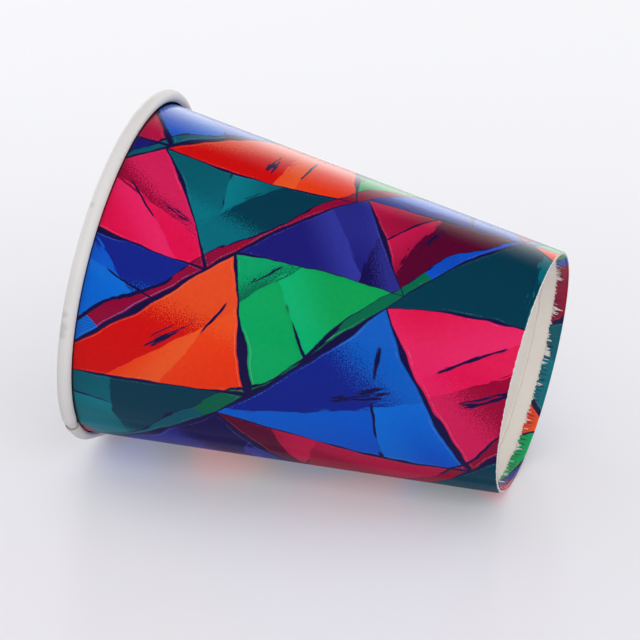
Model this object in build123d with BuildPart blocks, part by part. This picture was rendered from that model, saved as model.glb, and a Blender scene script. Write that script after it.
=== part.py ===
"""Paper drinking cup, 350 ml size, standing on its base ring.

Two pieces of coated board. The sidewall is one flat blank wrapped into a cone: its two straight
edges overlap in a glued lap down one side, its top edge is curled outwards into a tubular rim, and
its bottom edge is folded inwards and up round the skirt of the bottom. The bottom is a disc whose
edge is drawn down into that skirt, so that it sits well above the ring that the cup stands on.

Millimetres, +Z up from the base ring to the rim, origin at the centre of the base ring. Angles are
about +Z from +X. The lap lies just past -X, so the whole of the -Y side is one sheet thick.
"""

from build123d import *
from math import asin, atan2, cos, degrees, hypot, radians, sin
import os

# Overall size
height = 106.0
rim_diameter = 90.0
base_diameter = 60.0

# Sidewall board, rolled rim and folded hem
board = 0.38
roll_diameter = 3.5
curl_gap = 0.2
curl_turn = 60.0
fold_radius = 0.07
hem_height = 3.4

# Lap where the blank's two edges meet
lap_start = 188.0
lap_angle = 12.0
joggle_angle = 6.0
lap_curl_turn = 40.0

# Bottom
bottom_board = 0.30
recess_depth = 7.4
bottom_corner = 0.7
seal_gap = 0.02
skirt_clearance = 0.04

# Cone of the wall's outer face: it starts at the base ring and runs tangent into the curl
rim_radius = rim_diameter / 2
base_radius = base_diameter / 2
roll_radius = roll_diameter / 2
curl_centre = (rim_radius - roll_radius, height - roll_radius)
run = curl_centre[0] - base_radius
rise = curl_centre[1]
taper = atan2(run, rise) - asin((roll_radius - board) / hypot(run, rise))

# Inner turn of the curl, which tucks in behind the first one, and the slot that holds the skirt
tuck_radius = roll_radius - board - curl_gap
tuck_centre = (curl_centre[0], curl_centre[1] - roll_radius + tuck_radius)
skirt_slot = bottom_board + 2 * seal_gap


def wall_point(offset, z):
    """Point of the wall's section at height z, this far outside the wall's inner face."""
    radius = base_radius + z * sin(taper) / cos(taper) + (offset - board) / cos(taper)
    return (radius, z)


def on_circle(centre, radius, angle):
    """Point of a circle in the section, at an angle from the outward direction in degrees."""
    return (centre[0] + radius * cos(radians(angle)), centre[1] + radius * sin(radians(angle)))


def sheet_line(offset, lift, turn):
    """Line that runs this far outside the sheet's inner face, from the curl's end to the hem's.

    lift is the height of the inner face over the base ring inside the fold, and turn is how many
    degrees the inner turn of the curl goes on past the lowest point of the roll.
    """
    start = 180 - degrees(taper)
    outer = roll_radius - offset
    inner = tuck_radius - offset
    crest = lift - offset
    corner = fold_radius + offset
    wall_foot = wall_point(offset, crest)
    hem_foot = wall_point(-skirt_slot - offset, crest)
    hem_top = wall_point(-skirt_slot - offset, hem_height)
    tuck = CenterArc(tuck_centre, inner, -90, -turn)
    roll = CenterArc(curl_centre, outer, -90, start + 90)
    wall = FilletPolyline(on_circle(curl_centre, outer, start), wall_foot, hem_foot, hem_top,
                          radius=corner)
    return tuck, roll, wall


def sheet_section(inner, outer, lift, turn, angle):
    """Closed section of the sheet between two offsets, on the half plane at this angle."""
    outward = (cos(radians(angle)), sin(radians(angle)), 0)
    across = (sin(radians(angle)), -cos(radians(angle)), 0)
    with BuildSketch(Plane((0, 0, 0), x_dir=outward, z_dir=across)) as section:
        with BuildLine():
            near = sheet_line(inner, lift, turn)
            far = sheet_line(outer, lift, turn)
            Line(near[0] @ 1, far[0] @ 1)
            Line(near[2] @ 1, far[2] @ 1)
        make_face()
    return section.sketch.face()


lap_end = lap_start + lap_angle
joggle_end = lap_end + joggle_angle
single = (0, board, board, curl_turn)
displaced = (board, 2 * board, 2 * board, curl_turn)
double = (0, 2 * board, 2 * board, lap_curl_turn)

# Sidewall: single sheet most of the way round, a double sector at the lap, and beside it the
# joggle in which the outer layer climbs over the cut edge of the inner one
with BuildPart() as sidewall:
    revolve(sheet_section(*single, joggle_end), Axis.Z, 360 - lap_angle - joggle_angle)
    revolve(sheet_section(*double, lap_start), Axis.Z, lap_angle)
    loft([sheet_section(*displaced, lap_end), sheet_section(*single, joggle_end)], ruled=True)

# Bottom: a disc with a drawn corner and a skirt that fills the slot inside the fold
with BuildPart() as bottom:
    with BuildSketch(Plane.XZ):
        with BuildLine():
            skirt_foot = 2 * board + skirt_clearance
            outside = -seal_gap
            inside = outside - bottom_board
            floor_top = recess_depth + bottom_board
            upper = FilletPolyline((0, floor_top), wall_point(outside, floor_top),
                                   wall_point(outside, skirt_foot),
                                   radius=bottom_corner + bottom_board)
            lower = FilletPolyline((0, recess_depth), wall_point(inside, recess_depth),
                                   wall_point(inside, skirt_foot), radius=bottom_corner)
            Line(upper @ 0, lower @ 0)
            Line(upper @ 1, lower @ 1)
        make_face()
    revolve(axis=Axis.Z)

os.makedirs("parts", exist_ok=True)
sidewall.part.label = "sidewall"
export_step(sidewall.part, "parts/sidewall.step")
bottom.part.label = "bottom"
export_step(bottom.part, "parts/bottom.step")

print("taper of the wall", round(degrees(taper), 2), "degrees")
for piece in (sidewall.part, bottom.part):
    print(piece.label, len(piece.solids()), "solid", round(piece.volume, 1), "cubic mm", piece.is_valid)
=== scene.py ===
"""Paper cup lying on its side on a pale table, seen from its base end.

Metres. The cup stands in its own frame: +Z runs along its axis from the base ring to the rolled
rim, and the table is the tilted plane that the rim and the base ring both touch. Angles round the
cup are in degrees about +Z from +X, so the side that faces the camera is at 270.
"""

import bpy
import numpy as np
from mathutils import Matrix, Vector


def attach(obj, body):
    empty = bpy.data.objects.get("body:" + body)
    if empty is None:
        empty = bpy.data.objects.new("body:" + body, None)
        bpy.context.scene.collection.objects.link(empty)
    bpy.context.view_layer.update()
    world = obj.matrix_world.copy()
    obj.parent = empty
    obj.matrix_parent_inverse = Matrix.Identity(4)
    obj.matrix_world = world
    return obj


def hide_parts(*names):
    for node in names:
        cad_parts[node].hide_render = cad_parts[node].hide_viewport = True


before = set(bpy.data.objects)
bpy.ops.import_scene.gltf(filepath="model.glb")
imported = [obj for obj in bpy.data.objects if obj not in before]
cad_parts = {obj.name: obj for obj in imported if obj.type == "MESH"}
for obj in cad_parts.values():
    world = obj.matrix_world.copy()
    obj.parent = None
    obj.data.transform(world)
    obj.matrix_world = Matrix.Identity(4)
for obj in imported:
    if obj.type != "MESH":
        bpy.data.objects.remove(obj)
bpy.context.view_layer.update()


# Sidewall: one blank of coated board, printed on its outer face and varnished. It is wrapped into a
# cone with a glued lap, its top edge is curled outwards into the white rim, and its bottom edge is
# folded inwards and up, so a narrow band of the print shows again inside the base ring.

mm = 0.001
board = 0.38 * mm
rim_radius = 45.0 * mm
base_radius = 30.0 * mm
cup_height = 106.0 * mm
roll_radius = 1.75 * mm
tuck_radius = 1.17 * mm
tuck_turn = 60.0
fold_radius = 0.07 * mm
skirt_slot = 0.34 * mm
hem_height = 3.4 * mm
lap_start, lap_end, joggle_end = 188.0, 200.0, 206.0
sheet_end = lap_end + 360
lap_air = 0.01 * mm

curl_r, curl_z = rim_radius - roll_radius, cup_height - roll_radius
tuck_z = curl_z - roll_radius + tuck_radius
taper = (np.arctan2(curl_r - base_radius, curl_z)
         - np.arcsin((roll_radius - board) / np.hypot(curl_r - base_radius, curl_z)))
taper_deg = np.degrees(taper)

# Points of the section in each stretch of the sheet. The tuck's arc ends at this angle, a little
# short of the roll's own, which starts at its lowest point.
tuck_count, roll_count, wall_count, corner_count, hem_count = 3, 25, 12, 7, 5
tuck_end = -97


def ramp(x, low, high):
    """0 below low, 1 above high, and the smooth cubic 3t^2 - 2t^3 between them."""
    t = np.clip((x - low) / (high - low), 0, 1)
    return t * t * (3 - 2 * t)


def waves(x, seed, longest, count):
    """Uneven wave of about unit height: a sum of sines, each 1.7 times shorter than the last."""
    phase = np.random.default_rng(seed).uniform(0, 2 * np.pi, count)
    sines = (np.sin(x * 2 * np.pi / longest * 1.7 ** k + phase[k]) / 1.3 ** k for k in range(count))
    return sum(sines) / 1.8


def arc(r, z, radius, start, end, count):
    """Points of a circle in the (r, z) section: centre plus radius at count even angles."""
    angle = np.radians(np.linspace(start, end, count))
    return r + radius * np.cos(angle), z + radius * np.sin(angle)


def face_radius(z, offset):
    """Radius at height z of the cone that lies offset outside the wall's inner face."""
    return base_radius + z * np.tan(taper) + (offset - board) / np.cos(taper)


def sheet_section(offset, lift, hem_top):
    """One face of the sheet in (r, z), one row a station, from inside the curl to the hem's edge.

    offset is how far the face lies outside the sheet's inner line, and lift the height of that line
    in the fold. The tuck, the roll and the two corners of the fold are arcs whose radius changes by
    offset, and the wall and the hem are straight lines between them. Returns r, z and the length
    along the section from the fold, which is positive up the wall and negative up the hem.
    """
    corner = fold_radius + offset
    corner_z = lift - offset + corner
    wall_side = face_radius(corner_z, offset) - corner / np.cos(taper)
    hem_side = face_radius(corner_z, -skirt_slot - offset) + corner / np.cos(taper)
    tuck = arc(curl_r, tuck_z, tuck_radius - offset, -90 - tuck_turn, tuck_end, tuck_count)
    roll = arc(curl_r, curl_z, roll_radius - offset, -90, 180 - taper_deg, roll_count)
    foot = arc(wall_side, corner_z, corner, -taper_deg, -90, corner_count)
    heel = arc(hem_side, corner_z, corner, -90, -180 - taper_deg, corner_count)
    t = np.linspace(0, 1, wall_count + 2)[1:-1]
    wall = [a[:, -1:] + t * (b[:, :1] - a[:, -1:]) for a, b in zip(roll, foot)]
    t = np.linspace(0, 1, hem_count + 1)[1:]
    hem_z = heel[1][:, -1:] + t * (hem_top - heel[1][:, -1:])
    hem = face_radius(hem_z, -skirt_slot - offset), hem_z
    stretches = tuck, roll, wall, foot, heel, hem
    r, z = (np.concatenate([stretch[k] for stretch in stretches], axis=1) for k in (0, 1))
    run = np.cumsum(np.hypot(np.diff(r), np.diff(z)), axis=1)
    run = np.concatenate([np.zeros_like(run[:, :1]), run], axis=1)
    crest = tuck_count + roll_count + wall_count + corner_count - 1
    return r, z, run[:, crest:crest + 1] - run


# Stations round the cup, closest at the lap. The sheet starts there as the outer layer and comes
# down over the joggle, and its other end rises in the fold before it slips under the start.
near_end, near_start, rise_start = 208.0, 536.0, 543.0
station = np.concatenate([np.linspace(lap_start, near_end, 49)[:-1],
                          np.linspace(near_end, near_start, 640)[:-1],
                          np.linspace(near_start, sheet_end, 53)])[:, None]
turn = np.radians(station)
layer = (board + lap_air) * (1 - ramp(station, lap_end, joggle_end))
lifted = board + layer + (board + lap_air) * ramp(station, rise_start, lap_start + 360)

# The knurled roller that pressed the hem left saw teeth along its cut edge: each is a few stations
# long and of its own depth, and leans out of the hem a little
teeth, tooth_lean = 260, 0.07 * mm
roller = np.random.default_rng(6)
tooth_end = np.concatenate([[0], np.cumsum(roller.integers(3, 7, teeth))])
number = np.arange(len(station))
tooth = np.searchsorted(tooth_end, number, side="right") - 1
tooth_share = ((number - tooth_end[tooth]) / np.diff(tooth_end)[tooth])[:, None]
tooth_depth = roller.uniform(0.15, 0.90, teeth)[tooth][:, None] * mm
unevenness = waves(station, seed=4, longest=41, count=4)
hem_edge = hem_height - 0.20 * mm + 0.10 * mm * unevenness - tooth_depth * tooth_share
ripple = waves(station, seed=8, longest=23, count=4)
knurl = tooth_lean * (tooth_share - 0.5) + 0.02 * mm * ripple

# The roll is pressed a little flat on its left side, most of all at 172 degrees
flattened = 1.1 * mm
around = station % 360
flat_spot = (ramp(around, 158, 172) - 0.35 * ramp(around, 172, 190)
             - 0.65 * ramp(around, 190, 207))

# The teeth show in full on the printed face of the hem and only faintly on the white one
faces_of_sheet = []
for offset, pressed in ((layer, 0.2), (layer + board, 1.0)):
    r, z, run = sheet_section(offset, lifted, hem_edge)
    on_roll = ramp(r - face_radius(z, 0), -0.4 * mm, 3.2 * mm) * ramp(z, 100 * mm, 103 * mm)
    on_hem = ramp(-run, 0.3 * mm, 1.2 * mm)
    r = r - flattened * flat_spot * on_roll + pressed * knurl * on_hem
    faces_of_sheet.append((np.stack([r * np.cos(turn), r * np.sin(turn), z], axis=2), run))
(white_points, white_run), (print_points, print_run) = faces_of_sheet

# Each station's section is a closed loop: down the white face and back up the printed one
loop_points = np.concatenate([white_points, print_points[:, ::-1]], axis=1)
loop_run = np.concatenate([white_run, print_run[:, ::-1]], axis=1)
rows, around_loop = loop_run.shape
half = around_loop // 2


def loop_quads(rows, columns):
    """Quads of a rows x columns grid whose columns close on themselves, facing out of the loop."""
    i, j = np.meshgrid(np.arange(rows - 1), np.arange(columns), indexing="ij")
    k = (j + 1) % columns
    here, next_row = i * columns, (i + 1) * columns
    return np.stack([here + j, here + k, next_row + k, next_row + j], axis=2).reshape(-1, 4)


def mesh_of(name, points, quads, smooth_angle=35):
    """Mesh from points and faces, shaded smooth except along edges sharper than the angle."""
    mesh = bpy.data.meshes.new(name)
    mesh.from_pydata(points.reshape(-1, 3).tolist(), [], [f.tolist() for f in quads])
    mesh.polygons.foreach_set("use_smooth", np.ones(len(mesh.polygons), bool))
    mesh.set_sharp_from_angle(angle=np.radians(smooth_angle))
    mesh.update()
    return mesh


j = np.arange(half - 1)
cap = np.stack([j, around_loop - 1 - j, around_loop - 2 - j, j + 1], axis=1)
last = (rows - 1) * around_loop
sheet_quads = np.concatenate([loop_quads(rows, around_loop), cap, last + cap[:, ::-1]])
sheet_mesh = mesh_of("sidewall_sheet", loop_points, sheet_quads)

# The flat blank is a ring sector, so a straight line of the print bends round the cone. One unit of
# this map is one pane of the print. "run" is the length along the section from the fold, "turn" the
# station's angle, and "tooth" how far along its saw tooth the station lies.
pane = 30.0 * mm
apex = base_radius / np.sin(taper) + loop_run
fan = (turn - np.radians(270)) * np.sin(taper)
blank = np.stack([apex * np.sin(fan),
                  apex * np.cos(fan) - base_radius / np.sin(taper)], axis=2) / pane
corner_of = np.zeros(len(sheet_mesh.loops), np.int32)
sheet_mesh.loops.foreach_get("vertex_index", corner_of)
blank_map = sheet_mesh.uv_layers.new(name="blank")
blank_map.data.foreach_set("uv", blank.reshape(-1, 2)[corner_of].ravel().astype(np.float32))
for name, values in (("run", loop_run), ("turn", np.broadcast_to(station, loop_run.shape)),
                     ("tooth", np.broadcast_to(tooth_share, loop_run.shape))):
    held = sheet_mesh.attributes.new(name, "FLOAT", "POINT")
    held.data.foreach_set("value", values.astype(np.float32).ravel())

# Quads whose loop columns lie on the printed face take the print. The rest, and both cut ends of
# the blank, are white board.
column = np.tile(np.arange(around_loop), rows - 1)
on_print = (column >= half) & (column < around_loop - 1)
board_side = np.concatenate([~on_print, np.ones(2 * len(cap), bool)])
sheet_mesh.polygons.foreach_set("material_index", board_side.astype(np.int32))


def linear(red, green, blue):
    """Colour as the renderer wants it, from 0 to 255 values of the finished surface."""
    c = np.array([red, green, blue]) / 255
    return (*np.where(c <= 0.04045, c / 12.92, ((c + 0.055) / 1.055) ** 2.4), 1.0)


def add(tree, kind, inputs=(), **settings):
    """New node with its settings, and its inputs given as {name or index: socket or value}."""
    made = tree.nodes.new(kind)
    for name, value in settings.items():
        setattr(made, name, value)
    for name, value in dict(inputs).items():
        if isinstance(value, bpy.types.NodeSocket):
            tree.links.new(value, made.inputs[name])
        else:
            made.inputs[name].default_value = value
    return made


def calc(tree, operation, a, b=0.0, c=0.0, clamp=False):
    """Output of one Math node."""
    made = add(tree, "ShaderNodeMath", {0: a, 1: b, 2: c}, operation=operation, use_clamp=clamp)
    return made.outputs[0]


def plus(tree, a, b):
    """a + b."""
    return calc(tree, "ADD", a, b)


def minus(tree, a, b):
    """a - b."""
    return calc(tree, "SUBTRACT", a, b)


def times(tree, a, b):
    """a * b."""
    return calc(tree, "MULTIPLY", a, b)


def scaled(tree, a, factor, shift):
    """a * factor + shift."""
    return calc(tree, "MULTIPLY_ADD", a, factor, shift)


def vector_calc(tree, operation, a, b=(0, 0, 0), scale=1.0):
    """Output of one Vector Math node: the value for a product or length, else the vector."""
    made = add(tree, "ShaderNodeVectorMath", {0: a, 1: b, 3: scale}, operation=operation)
    return made.outputs["Value" if operation in ("DOT_PRODUCT", "LENGTH") else "Vector"]


def vector_of(tree, x, y, z=0.0):
    """Vector with these three parts."""
    return add(tree, "ShaderNodeCombineXYZ", {0: x, 1: y, 2: z}).outputs[0]


def object_place(tree):
    """Place on the piece, in its own frame."""
    return add(tree, "ShaderNodeTexCoord").outputs["Object"]


def height_in_mm(tree, place):
    """Height over the base ring, in millimetres."""
    return times(tree, add(tree, "ShaderNodeSeparateXYZ", {"Vector": place}).outputs["Z"], 1000)


def attribute(tree, name):
    """Value of one of the sheet's point attributes."""
    return add(tree, "ShaderNodeAttribute", attribute_name=name).outputs["Fac"]


def noise(tree, where, scale, detail=2.0, rough=0.5, flat=False):
    """Output of one Noise node, 0 to 1 about 0.5."""
    return add(tree, "ShaderNodeTexNoise", {
        "Vector": where, "Scale": scale, "Detail": detail, "Roughness": rough},
        noise_dimensions="2D" if flat else "3D").outputs["Fac"]


def step(tree, value, low, high):
    """Smooth step of a socket from 0 at low to 1 at high."""
    made = add(tree, "ShaderNodeMapRange", {"Value": value, "From Min": low, "From Max": high},
               interpolation_type="SMOOTHSTEP")
    return made.outputs["Result"]


def step_down(tree, value, low, high):
    """Smooth step of a socket from 1 at low to 0 at high."""
    return minus(tree, 1.0, step(tree, value, low, high))


def above_zero(tree, value, soft):
    """Mask of where a socket is above 0, with an edge that is soft on either side of it."""
    return step(tree, value, -soft, soft)


def mix(tree, amount, one, other):
    """Colour that goes from one to other by amount."""
    made = add(tree, "ShaderNodeMix", {"Factor": amount, 6: one, 7: other}, data_type="RGBA")
    return made.outputs[2]


def chips(tree, value, colours):
    """Colour picked in even steps of value from a row of flat colours."""
    made = add(tree, "ShaderNodeValToRGB", {"Fac": value})
    ramp_of = made.color_ramp
    ramp_of.interpolation = "CONSTANT"
    for k, colour in enumerate(colours):
        stop = ramp_of.elements[0] if k == 0 else ramp_of.elements.new(k / len(colours))
        stop.color = linear(*colour)
    ramp_of.elements.remove(ramp_of.elements[-1])
    return made.outputs["Color"]


def surface(name):
    """New material with its node tree and its Principled shader."""
    made = bpy.data.materials.new(name)
    made.use_nodes = True
    return made, made.node_tree, made.node_tree.nodes["Principled BSDF"]


def finish(tree, shader, colour, roughness, height, strength, depth):
    """Feeds the shader its colour, its roughness and a bump of the height, depth metres deep."""
    bump = add(tree, "ShaderNodeBump", {"Strength": strength, "Distance": depth, "Height": height})
    tree.links.new(colour, shader.inputs["Base Color"])
    tree.links.new(roughness, shader.inputs["Roughness"])
    tree.links.new(bump.outputs["Normal"], shader.inputs["Normal"])


# Ink of each flag: its flat tone, a lighter and a deeper one, in seven hues
ink_tones = [
    ((228, 50, 8), (230, 84, 34), (202, 4, 6)),
    ((0, 74, 190), (0, 102, 204), (14, 32, 132)),
    ((0, 152, 78), (0, 170, 106), (0, 100, 70)),
    ((214, 0, 68), (222, 30, 94), (146, 0, 50)),
    ((26, 24, 112), (46, 50, 148), (20, 10, 72)),
    ((0, 86, 102), (0, 114, 128), (0, 54, 74)),
    ((138, 4, 50), (188, 16, 70), (82, 0, 42))]
ribbon_tones = [ink_tones[hue][tone] for hue, tone in (
    (1, 0), (5, 0), (6, 0), (1, 1), (2, 2), (4, 1), (3, 2))]
line_ink = linear(20, 14, 62)
paper_white = linear(217, 214, 213)
crevice_shade = linear(16, 12, 14)

printed, tree, shader = surface("printed_board")
on_blank = add(tree, "ShaderNodeUVMap", uv_map="blank").outputs["UV"]
on_piece = object_place(tree)
run_mm = times(tree, attribute(tree, "run"), 1000)

# The hand-drawn wobble of every line, and a frame for the print that is turned on the blank
wobble_size = 0.035
slant = np.radians(-33)
wobble = add(tree, "ShaderNodeTexNoise", {"Vector": on_blank, "Scale": 4.0, "Detail": 3.0},
             noise_dimensions="2D").outputs["Color"]
wobble = vector_calc(tree, "SUBTRACT", wobble, (0.5, 0.5, 0.5))
drawn = vector_calc(tree, "ADD", on_blank, vector_calc(tree, "SCALE", wobble, scale=wobble_size))
across = vector_calc(tree, "DOT_PRODUCT", drawn, (np.cos(slant), np.sin(slant), 0))
upward = vector_calc(tree, "DOT_PRODUCT", drawn, (-np.sin(slant), np.cos(slant), 0))

# Bands of uneven height that fan out a little. Each is cut into flags that point up and down in
# turn, by two sets of slanting lines that meet on the band's edges; "flag" numbers the flags. The
# second row of sizes turns shares of a band or flag back into panes.
bands_per_pane, flags_per_pane = 0.86, 0.68
band_height, flag_width, line_spacing = 1.16, 1.47, 1.28
rise = times(tree, upward, scaled(tree, across, 0.05, bands_per_pane))
rise = plus(tree, scaled(tree, across, 0.07, 20.3), rise)
rise = scaled(tree, calc(tree, "SINE", times(tree, rise, 2.3)), 0.13, rise)
band = calc(tree, "FLOOR", rise)
share = minus(tree, rise, band)
band_lot = add(tree, "ShaderNodeTexWhiteNoise", {"W": band}, noise_dimensions="1D").outputs["Value"]
lean = scaled(tree, band_lot, 0.5, 0.25)
swing = calc(tree, "SINE", scaled(tree, across, 1.7, times(tree, band, 2.1)))
place = scaled(tree, across, flags_per_pane, times(tree, band, -0.37))
place = scaled(tree, swing, 0.13, place)
rising = minus(tree, place, times(tree, lean, share))
falling = plus(tree, rising, share)
flag = plus(tree, calc(tree, "FLOOR", rising), calc(tree, "FLOOR", falling))
flag_middle = plus(tree, scaled(tree, flag, 0.5, 0.25), times(tree, lean, 0.5))
inside = vector_of(tree, times(tree, minus(tree, place, flag_middle), flag_width),
                   times(tree, minus(tree, share, 0.5), band_height))
lot = add(tree, "ShaderNodeTexWhiteNoise", {"Vector": vector_of(tree, flag, band)},
          noise_dimensions="2D").outputs["Color"]
lots = add(tree, "ShaderNodeSeparateXYZ", {"Vector": lot}).outputs
to_rising = times(tree, calc(tree, "PINGPONG", rising, 0.5), line_spacing)
to_falling = times(tree, calc(tree, "PINGPONG", falling, 0.5), line_spacing)
to_band = times(tree, calc(tree, "PINGPONG", share, 0.5), band_height)
to_edge = calc(tree, "MINIMUM", calc(tree, "MINIMUM", to_rising, to_falling), to_band)


def hue_spot(tree, number):
    """Middle of a whole number's chip in the row of hues, which repeats after its last one."""
    hues = len(ink_tones)
    return calc(tree, "DIVIDE", plus(tree, calc(tree, "FLOORED_MODULO", number, hues), 0.5), hues)


# Hue by a rule on the two numbers, so that no two neighbours are alike
hue = hue_spot(tree, scaled(tree, band, 3, scaled(tree, flag, 2, 3)))
flat_tone, light_tone, deep_tone = (chips(tree, hue, tones) for tones in zip(*ink_tones))


def brush(angle_lot, start, shift, ragged, seed):
    """Distance past the edge of a straight brush stroke across the flag, and along the stroke.

    The stroke's direction is the flag's lot of a full turn, plus start. The distance across it is
    pushed about by noise that is drawn out along it, so the edge breaks into short streaks.
    """
    full_turn = 6.28
    angle = scaled(tree, angle_lot, full_turn, start)
    cosine, sine = calc(tree, "COSINE", angle), calc(tree, "SINE", angle)
    reach = vector_calc(tree, "DOT_PRODUCT", inside, vector_of(tree, cosine, sine))
    along_way = vector_of(tree, times(tree, sine, -1), cosine)
    along = vector_calc(tree, "DOT_PRODUCT", inside, along_way)
    streaks = vector_of(tree, times(tree, along, 3.5), times(tree, reach, 30),
                        scaled(tree, angle_lot, 40, seed))
    push = minus(tree, noise(tree, streaks, 1.0, 3.0, 0.6), 0.5)
    return plus(tree, scaled(tree, push, ragged, reach), shift), along


first_reach = brush(lots[0], start=0.4, shift=0.0, ragged=0.05, seed=1.0)[0]
second_reach, second_along = brush(lots[1], start=1.9, shift=-0.14, ragged=0.20, seed=5.0)
third_reach, third_along = brush(lots[2], start=3.1, shift=-0.12, ragged=0.05, seed=9.0)

# Flat ink that drifts towards the lighter tone, a lighter side, a deep brushed corner, and a corner
# whose lighter tone thins out as a fine spray
brush_soft = 0.005
drift = times(tree, step(tree, third_along, -0.35, 0.45), 0.45)
ink = mix(tree, drift, flat_tone, light_tone)
light_side = mix(tree, step(tree, first_reach, 0.0, 0.4), light_tone, flat_tone)
ink = mix(tree, above_zero(tree, first_reach, brush_soft), ink, light_side)
ink = mix(tree, above_zero(tree, second_reach, brush_soft), ink, deep_tone)
grain = noise(tree, on_blank, 90.0, 2.0, 0.7, flat=True)
spray = scaled(tree, third_reach, 1.6, minus(tree, grain, 0.62))
ink = mix(tree, times(tree, step(tree, spray, -0.02, 0.06), 0.7), ink, light_tone)

# Ribbon of another ink along the foot of each band, swelling and thinning, with a torn upper edge,
# and hatched in the pen's ink where it is wide
hatching_strength = 0.35
swell = noise(tree, vector_of(tree, across, band), 1.1, 1.0, 0.5)
torn_place = vector_of(tree, times(tree, across, 4), times(tree, share, 34), band)
ribbon_width = scaled(tree, swell, 0.42, -0.16)
ribbon_edge = scaled(tree, noise(tree, torn_place, 1.0, 3.0, 0.6), 0.05, ribbon_width)
ribbon_edge = minus(tree, ribbon_edge, share)
length_number = calc(tree, "FLOOR", times(tree, across, 0.45))
ribbon_hue = hue_spot(tree, scaled(tree, band, 2, times(tree, length_number, 3)))
ribbon_ink = chips(tree, ribbon_hue, ribbon_tones)
hatching = calc(tree, "SINE", scaled(tree, across, 210.0, times(tree, share, 150.0)))
hatching = times(tree, step(tree, hatching, -0.1, 0.5), step(tree, swell, 0.50, 0.56))
ribbon_ink = mix(tree, times(tree, hatching, hatching_strength), ribbon_ink, line_ink)
ink = mix(tree, above_zero(tree, ribbon_edge, 0.004), ink, ribbon_ink)

# Pen lines, thick and thin: round each flag, along the first stroke and along the ribbon, and as a
# loose dash in some flags
pen_soft = 0.003
pen = noise(tree, on_blank, 1.7, 2.0, 0.5, flat=True)
pen_width = scaled(tree, calc(tree, "POWER", pen, 3.0), 0.085, 0.002)
outline = above_zero(tree, minus(tree, pen_width, to_edge), pen_soft)
ribbon_line = minus(tree, times(tree, pen_width, 0.5), calc(tree, "ABSOLUTE", ribbon_edge))
fold_line = minus(tree, times(tree, pen_width, 0.45), calc(tree, "ABSOLUTE", first_reach))
fold_line = times(tree, above_zero(tree, fold_line, pen_soft), step(tree, pen, 0.5, 0.56))
dash_width = scaled(tree, calc(tree, "POWER", second_along, 2.0), -0.5, 0.016)
dash = minus(tree, dash_width, calc(tree, "ABSOLUTE", minus(tree, second_reach, 0.09)))
dash = times(tree, above_zero(tree, dash, pen_soft), calc(tree, "GREATER_THAN", lots[2], 0.45))
lines = calc(tree, "MAXIMUM", calc(tree, "MAXIMUM", outline, fold_line),
             calc(tree, "MAXIMUM", dash, above_zero(tree, ribbon_line, pen_soft)))

# Beside some pen lines runs a hairline of the pale tone, where the colour plates don't quite meet
hairline_strength = 0.55
hairline = calc(tree, "ABSOLUTE", minus(tree, minus(tree, to_edge, pen_width), 0.013))
hairline = times(tree, step_down(tree, hairline, 0.001, 0.005),
                 step(tree, minus(tree, pen, grain), -0.02, 0.12))
pale_tone = mix(tree, 0.15, light_tone, paper_white)
ink = mix(tree, times(tree, hairline, hairline_strength), ink, pale_tone)
ink = mix(tree, lines, ink, line_ink)

# Slight unevenness of the ink, and worn white board along the crest of the fold
mottle = noise(tree, on_blank, 22.0, 4.0, 0.6, flat=True)
ink = add(tree, "ShaderNodeHueSaturation", {
    "Color": ink, "Value": scaled(tree, mottle, 0.16, 0.92)}).outputs[0]
fray = scaled(tree, noise(tree, on_piece, 900.0, 3.0, 0.6), 0.5, -0.25)
from_crest = plus(tree, calc(tree, "ABSOLUTE", minus(tree, run_mm, 0.15)), fray)
crest_worn = step_down(tree, from_crest, 0.20, 0.38)

# The roller that pressed the hem left short creases across it, which scuffed the ink to bare board
# in places. Elsewhere, painted shade darkens the ink towards the step at the end of each saw tooth.
tooth_shade_strength = 0.65
crease_place = vector_of(tree, times(tree, attribute(tree, "turn"), 0.62),
                         times(tree, run_mm, 0.16))
crease_noise = noise(tree, crease_place, 1.0, 2.0, 0.65, flat=True)
patches = noise(tree, crease_place, 0.13, 1.0, 0.5, flat=True)
hem_share = step(tree, times(tree, run_mm, -1.0), 0.9, 3.2)
scuff = plus(tree, scaled(tree, hem_share, 0.20, crease_noise), scaled(tree, patches, 0.5, -0.25))
scuff = times(tree, step(tree, scuff, 0.76, 0.84), calc(tree, "GREATER_THAN", hem_share, 0.001))
worn = calc(tree, "MAXIMUM", crest_worn, scuff)
# Painted shade at the step of each saw tooth, in patches of the hem
tooth_shade_patch = times(tree, step(tree, hem_share, 0.0, 0.5), step(tree, patches, 0.30, 0.5))
tooth_shade = times(tree, step(tree, attribute(tree, "tooth"), 0.30, 0.66), tooth_shade_patch)
ink = mix(tree, times(tree, tooth_shade, tooth_shade_strength), ink, line_ink)
ink = mix(tree, worn, ink, paper_white)

# Painted shade in the crevice where the roll curls down against the wall
in_crevice = step(tree, height_in_mm(tree, on_piece), 102.40, 102.70)
ink = mix(tree, times(tree, in_crevice, 0.88), ink, crevice_shade)

# Varnish: glossy, with a faint orange peel, and duller where it has worn off
varnish = scaled(tree, worn, 0.4, scaled(tree, mottle, 0.06, 0.13))
peel = noise(tree, on_piece, 420.0, 2.0, 0.5)
shader.inputs["Specular IOR Level"].default_value = 0.33
finish(tree, shader, ink, varnish, peel, strength=0.25, depth=0.12 * mm)

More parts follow.
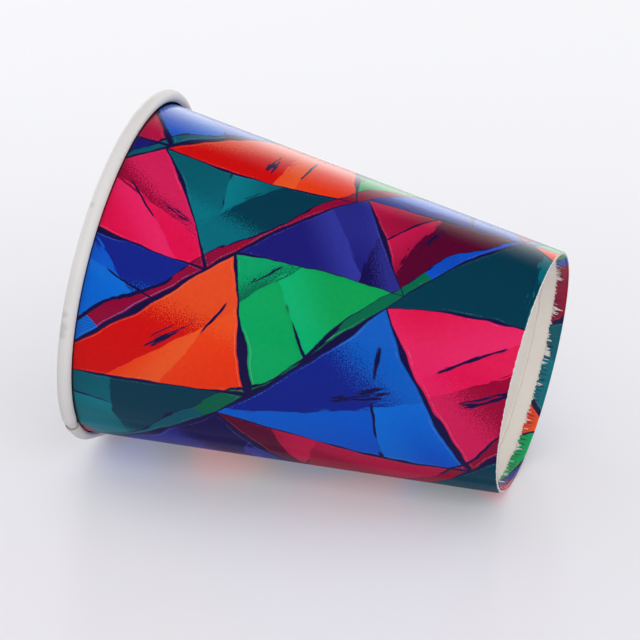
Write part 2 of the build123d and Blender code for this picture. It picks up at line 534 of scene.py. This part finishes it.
# Grain of coated board, for the white side here and for the bottom: cloudy tone and fine fibres
grain_group = bpy.data.node_groups.new("board_grain", "ShaderNodeTree")
for way, names in (("INPUT", ("Color", "Clouds", "Fibres")),
                   ("OUTPUT", ("Color", "Roughness", "Height"))):
    for name in names:
        kind = "NodeSocketColor" if name == "Color" else "NodeSocketFloat"
        grain_group.interface.new_socket(name, in_out=way, socket_type=kind)
tree = grain_group
given = add(tree, "NodeGroupInput").outputs
board_place = object_place(tree)
clouds = noise(tree, board_place, 130.0, 3.0, 0.6)
lengthwise = add(tree, "ShaderNodeMapping", {
    "Vector": board_place, "Scale": (1, 1, 0.25)}).outputs[0]
fibres = noise(tree, lengthwise, 2600.0, 4.0, 0.65)
shade = times(tree, minus(tree, clouds, 0.5), given["Clouds"])
shade = scaled(tree, minus(tree, fibres, 0.5), given["Fibres"], shade)
toned = add(tree, "ShaderNodeHueSaturation", {
    "Color": given["Color"], "Value": plus(tree, shade, 1.0)}).outputs[0]
add(tree, "NodeGroupOutput", {
    "Color": toned, "Roughness": scaled(tree, clouds, 0.16, 0.34), "Height": fibres})


def board_surface(name, tone, fibres):
    """New material of coated board: itself, its tree, its shader and the outputs of its grain."""
    made, tree, shader = surface(name)
    grained = add(tree, "ShaderNodeGroup", {"Color": tone, "Clouds": 0.05, "Fibres": fibres},
                  node_tree=grain_group)
    return made, tree, shader, grained.outputs


# White side, with a thin line of painted shade where the blank was cut across at the two ends of
# the sheet
cut_edge_shade = linear(158, 144, 138)
white, tree, shader, grained = board_surface("white_coated_board", paper_white, fibres=0.08)
turn_deg = attribute(tree, "turn")
at_last = step(tree, turn_deg, sheet_end - 0.4, sheet_end - 0.15)
at_first = step_down(tree, turn_deg, lap_start + 0.1, lap_start + 0.25)
cut_edge_shade_share = calc(tree, "ADD", at_last, at_first, clamp=True)
board_tone = mix(tree, cut_edge_shade_share, grained["Color"], cut_edge_shade)

# Faint grey smudges left on the roll by handling, each a soft blot torn by noise: its place and its
# radius in millimetres
smudges = [((-14.8, -42.3, 105.0), 1.5), ((-17.5, -41.3, 105.0), 1.9),
           ((-19.6, -40.3, 105.2), 2.0), ((12.0, -43.1, 105.2), 1.1), ((30.5, 31.0, 105.4), 1.6)]
smudge_tone, smudge_strength = linear(150, 144, 142), 0.35
on_piece = object_place(tree)
blots = noise(tree, on_piece, 700.0, 3.0, 0.6)
for point, reach in smudges:
    away_from = vector_calc(tree, "SUBTRACT", on_piece, tuple(v * mm for v in point))
    gap = minus(tree, vector_calc(tree, "LENGTH", away_from), 0.8 * mm)
    blot = step_down(tree, scaled(tree, blots, 1.6 * mm, gap), 0.0, reach * mm)
    board_tone = mix(tree, times(tree, blot, smudge_strength), board_tone, smudge_tone)
finish(tree, shader, board_tone, grained["Roughness"], grained["Height"],
       strength=0.2, depth=0.05 * mm)

sheet_mesh.materials.append(printed)
sheet_mesh.materials.append(white)
sidewall = bpy.data.objects.new("sidewall_sheet", sheet_mesh)
bpy.context.scene.collection.objects.link(sidewall)
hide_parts("sidewall")
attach(sidewall, "root")


# Bottom: a disc of plain coated board whose edge is drawn down into a skirt. The skirt is sealed
# inside the sidewall's fold, so the disc is set up above the ring that the cup stands on.

bottom_board = 0.30 * mm
recess_depth = 7.4 * mm
bottom_corner = 0.7 * mm
seal_gap = 0.02 * mm
skirt_foot = 0.80 * mm
pleats, pleat_depth, pleat_height = 90, 0.03 * mm, 6.6 * mm
flat_count, bend_count, skirt_count = 12, 12, 8
spokes = 360


def bottom_face(offset, disc_z, corner):
    """One face of the bottom in (r, z): flat from the axis to the corner, an arc, and the skirt."""
    corner_z = disc_z - corner
    corner_r = face_radius(corner_z, offset) - corner / np.cos(taper)
    flat_r = np.linspace(0, 1, flat_count + 2)[1:-1] * corner_r
    bend = arc(corner_r, corner_z, corner, 90, -taper_deg, bend_count)
    skirt_z = np.linspace(bend[1][-1], skirt_foot, skirt_count + 1)[1:]
    return (np.concatenate([flat_r, bend[0], face_radius(skirt_z, offset)]),
            np.concatenate([np.full(flat_count, disc_z), bend[1], skirt_z]))


# The two faces make one loop, which is turned round the axis. The drawn corner is finely pleated: a
# sine round the cup that fades above and below it.
top_r, top_z = bottom_face(-seal_gap, recess_depth + bottom_board, bottom_corner + bottom_board)
under_r, under_z = bottom_face(-seal_gap - bottom_board, recess_depth, bottom_corner)
loop_r = np.concatenate([top_r, under_r[::-1]])
loop_z = np.concatenate([top_z, under_z[::-1]])
ring = len(loop_r)
spoke_turn = np.radians(np.arange(spokes))[:, None]
pleat_fade = np.exp(-((loop_z - pleat_height) / (0.8 * mm)) ** 2)
pleated_r = loop_r + pleat_depth * np.sin(spoke_turn * pleats) * pleat_fade
bottom_points = np.stack([pleated_r * np.cos(spoke_turn), pleated_r * np.sin(spoke_turn),
                          np.broadcast_to(loop_z, (spokes, ring))], axis=2).reshape(-1, 3)

# Quads between the spokes, and a fan of triangles round a pole in the middle of each face
poles = np.array([[0, 0, recess_depth + bottom_board], [0, 0, recess_depth]])
spoke = np.arange(spokes) * ring
next_spoke = np.roll(spoke, -1)
i, j = np.meshgrid(spoke, np.arange(ring - 1), indexing="ij")
n = next_spoke[:, None]
bottom_quads = np.stack([i + j, i + j + 1, n + j + 1, n + j], axis=2).reshape(-1, 4)
top_fan = np.stack([np.full(spokes, spokes * ring), spoke, next_spoke], axis=1)
under_fan = np.stack([np.full(spokes, spokes * ring + 1),
                      next_spoke + ring - 1, spoke + ring - 1], axis=1)
bottom_mesh = mesh_of("bottom_disc", np.concatenate([bottom_points, poles]),
                      [*bottom_quads, *top_fan, *under_fan])

# A faint tan line round the drawn corner, broken by noise
cream, corner_line_tone = linear(235, 230, 223), linear(196, 176, 160)
corner_line_strength = 0.45
plain, tree, shader, grained = board_surface("plain_board", cream, fibres=0.10)
on_piece = object_place(tree)
line_height = scaled(tree, noise(tree, on_piece, 260.0, 2.0, 0.5), 0.5, 6.65)
from_line = calc(tree, "ABSOLUTE", minus(tree, height_in_mm(tree, on_piece), line_height))
corner_line = times(tree, step_down(tree, from_line, 0.05, 0.30), corner_line_strength)
board_tone = mix(tree, corner_line, grained["Color"], corner_line_tone)
finish(tree, shader, board_tone, grained["Roughness"], grained["Height"],
       strength=0.25, depth=0.05 * mm)

bottom_mesh.materials.append(plain)
bottom = bpy.data.objects.new("bottom_disc", bottom_mesh)
bpy.context.scene.collection.objects.link(bottom)
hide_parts("bottom")
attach(bottom, "root")


# Table: a pale, faintly glossy sheet. The cup lies on it along one line, touching it with the roll
# of the rim and with the fold of the base ring.

rest_side = np.radians(153.8)
fold_outer = board + fold_radius
fold_r = face_radius(fold_outer, board) - fold_outer / np.cos(taper)
roll_from_fold = curl_r - fold_r, curl_z - fold_outer
tilt = (np.arctan2(*roll_from_fold)
        + np.arcsin((roll_radius - fold_outer) / np.hypot(*roll_from_fold)))
to_x, to_y = np.cos(rest_side), np.sin(rest_side)
table_up = Vector((-to_x * np.cos(tilt), -to_y * np.cos(tilt), np.sin(tilt)))
touch = Vector((curl_r * to_x, curl_r * to_y, curl_z)) - roll_radius * table_up

# The table's own axes are right and away from the camera, whose place is set here for that
eye = Vector((0, -0.8287, -0.1260))
aim = Vector((-0.0008, 0, 0.0543))
look = (aim - eye).normalized()
away = (look - look.dot(table_up) * table_up).normalized()
right = away.cross(table_up)
on_table = Matrix((right, away, table_up)).transposed().to_4x4()

table_half, table_gap = 1.5, 0.1 * mm
corners = np.array([[-1, -1, 0], [1, -1, 0], [1, 1, 0], [-1, 1, 0]]) * table_half
table_mesh = bpy.data.meshes.new("table")
table_mesh.from_pydata(corners.tolist(), [], [[0, 1, 2, 3]])
table = bpy.data.objects.new("table", table_mesh)
table.matrix_world = Matrix.Translation(touch - table_gap * table_up) @ on_table
bpy.context.scene.collection.objects.link(table)

# The table is a light box: it gives off part of its plain tone, which keeps the shadow pale and
# lights the cup from below. Its tone is painted light, growing lighter from near to far. The
# varnish mirrors its near part darker than it is, so the print keeps its depth. The back of the
# table is clear, and lamps shine through it.
near_tone, far_tone = linear(238, 237, 243), linear(251, 251, 255)
glow_share, mirror_loss = 0.21, 0.80
table_top, tree, shader = surface("table_top")
table_place = object_place(tree)
distance_away = add(tree, "ShaderNodeSeparateXYZ", {"Vector": table_place}).outputs["Y"]
far_share = step(tree, distance_away, -0.12, 0.30)
path = add(tree, "ShaderNodeLightPath").outputs
near_share = times(tree, minus(tree, 1.0, far_share), mirror_loss)
tone = mix(tree, far_share, near_tone, far_tone)
tone = mix(tree, times(tree, near_share, path["Is Glossy Ray"]), tone, (0, 0, 0, 1))
tree.links.new(tone, shader.inputs["Base Color"])
shader.inputs["Roughness"].default_value = 0.24
shader.inputs["Specular IOR Level"].default_value = 0.15
plain_tone = add(tree, "ShaderNodeEmission", {"Color": tone, "Strength": 1.0}).outputs[0]
lifted_tone = add(tree, "ShaderNodeMixShader", {
    0: glow_share, 1: shader.outputs[0], 2: plain_tone}).outputs[0]
behind = add(tree, "ShaderNodeNewGeometry").outputs["Backfacing"]
seen_from_behind = times(tree, behind, path["Is Camera Ray"])
unseen = calc(tree, "MAXIMUM", seen_from_behind, path["Is Shadow Ray"])
clear = add(tree, "ShaderNodeBsdfTransparent").outputs[0]
shown = add(tree, "ShaderNodeMixShader", {0: unseen, 1: lifted_tone, 2: clear}).outputs[0]
tree.links.new(shown, tree.nodes["Material Output"].inputs["Surface"])
table_mesh.materials.append(table_top)


# Studio: white light all round, a little stronger from the front, with five soft lamps. Gloss
# mirrors a bright band low behind the cup and is dark elsewhere, which gives the streak of glare.

band_strength, dark_strength, seen_strength = 2.1, 0.04, 0.93
world = bpy.data.worlds.new("studio")
world.use_nodes = True
bpy.context.scene.world = world
tree = world.node_tree
direction = add(tree, "ShaderNodeTexCoord").outputs["Generated"]
height_up = vector_calc(tree, "DOT_PRODUCT", direction, tuple(table_up))
depth = vector_calc(tree, "DOT_PRODUCT", direction, tuple(away))
glow = add(tree, "ShaderNodeMapRange", {
    "Value": height_up, "From Min": 0.22, "From Max": 0.74,
    "To Min": band_strength, "To Max": dark_strength}).outputs["Result"]
behind_cup = step(tree, depth, -0.1, 0.25)
mirrored = scaled(tree, behind_cup, minus(tree, glow, dark_strength), dark_strength)
all_round = scaled(tree, depth, -0.22, 0.61)
path = add(tree, "ShaderNodeLightPath").outputs
strength = scaled(tree, path["Is Glossy Ray"], minus(tree, mirrored, all_round), all_round)
strength = scaled(tree, path["Is Camera Ray"], minus(tree, seen_strength, strength), strength)
background = tree.nodes["Background"]
background.inputs["Color"].default_value = (1, 1, 1, 1)
tree.links.new(strength, background.inputs["Strength"])

cup_middle = Vector((0, 0, cup_height / 2))


def soft_lamp(name, side, towards, up, size, power):
    """Square area lamp aimed at the cup's middle, unseen by the camera and in mirrors.

    It stands at the middle plus side to the right, towards away from the camera, and up off the
    table, all in metres.
    """
    lamp = bpy.data.lights.new(name, "AREA")
    lamp.shape, lamp.size, lamp.energy = "SQUARE", size, power
    holder = bpy.data.objects.new(name, lamp)
    holder.location = cup_middle + side * right + towards * away + up * table_up
    holder.rotation_mode = "QUATERNION"
    holder.rotation_quaternion = (cup_middle - holder.location).to_track_quat("-Z", "Y")
    holder.visible_camera = holder.visible_glossy = False
    bpy.context.scene.collection.objects.link(holder)


soft_lamp("key", side=-0.1, towards=0.15, up=1.10, size=1.1, power=1.6)
soft_lamp("side", side=0.95, towards=-0.35, up=0.45, size=0.6, power=0.7)
soft_lamp("open_side", side=-0.9, towards=0.45, up=0.55, size=0.7, power=1.6)
soft_lamp("front", side=0.2, towards=-0.93, up=0.56, size=0.9, power=4.0)
soft_lamp("below", side=0.0, towards=0.0, up=-1.1, size=1.0, power=0.6)


# Camera: a long lens in front of the cup and above the table, aimed at the middle of the cup's
# axis and held level with the table.

camera = bpy.data.cameras.new("camera")
camera.sensor_width = 36
camera.lens = 195.24
camera.clip_start, camera.clip_end = 0.05, 20
camera_object = bpy.data.objects.new("camera", camera)
up = (table_up - table_up.dot(look) * look).normalized()
facing = Matrix((look.cross(up), up, -look)).transposed().to_4x4()
camera_object.matrix_world = Matrix.Translation(eye) @ facing
bpy.context.scene.collection.objects.link(camera_object)
bpy.context.scene.camera = camera_object

bpy.context.scene.view_settings.view_transform = "Standard"
bpy.context.view_layer.update()
